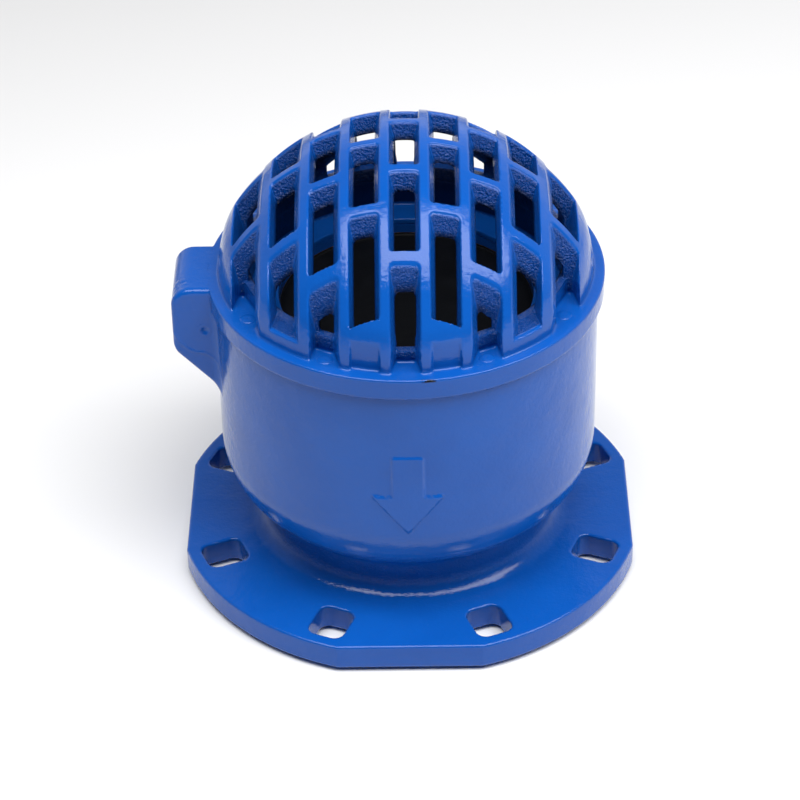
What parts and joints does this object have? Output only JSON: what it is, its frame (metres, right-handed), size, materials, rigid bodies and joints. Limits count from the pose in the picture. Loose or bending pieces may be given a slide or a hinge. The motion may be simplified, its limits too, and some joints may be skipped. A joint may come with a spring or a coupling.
{
  "type": "foot valve",
  "caption": "Flanged foot valve for a pump's suction pipe: cast body with a domed slotted strainer and a hinged rubber-faced flap that shuts against a bronze seat.",
  "frame": {"origin": "centre of the flange's sealing face, where the bore's axis meets it", "axes": "+Z along the bore, from the flange towards the strainer; -X towards the hinge housing; Y along the hinge pin"},
  "size_m": [0.273, 0.272, 0.2822],
  "materials": {
    "blue_enamel": "glossy enamel over rough cast iron",
    "blue_screws": "glossy enamel, thick over the screw heads",
    "gasket": "matt fibre and rubber sheet",
    "bronze": "machined",
    "cast_iron": "as cast, dark primer",
    "rubber": "matt moulded",
    "steel": "zinc plated",
    "spring_steel": "drawn wire"
  },
  "bodies": {
    "valve": {"valve_body": "blue_enamel", "strainer_cage": "blue_enamel", "strainer_screws": "blue_screws", "body_gasket": "gasket", "seat_ring": "bronze", "hinge_pin": "steel", "pin_plug": "blue_enamel", "thrust_washer_front": "bronze", "thrust_washer_rear": "bronze", "closing_spring_front": "spring_steel", "closing_spring_rear": "spring_steel"},
    "flap": {"flap_core": "cast_iron", "flap_rubber": "rubber", "hinge_arm": "cast_iron", "flap_washer": "steel", "flap_nut": "steel", "split_pin": "steel", "hinge_bush_front": "bronze", "hinge_bush_rear": "bronze"}
  },
  "joints": [
    {"name": "flap_swing", "type": "hinge", "parent": "valve", "child": "flap", "pos_m": [-0.118, 0, 0.168], "axis": [0, 1, 0], "range_deg": [0, 40], "stiffness_Nm_per_rad": 1.3, "springref_deg": -100.27, "deforming": ["closing_spring_front", "closing_spring_rear"]}
  ]
}
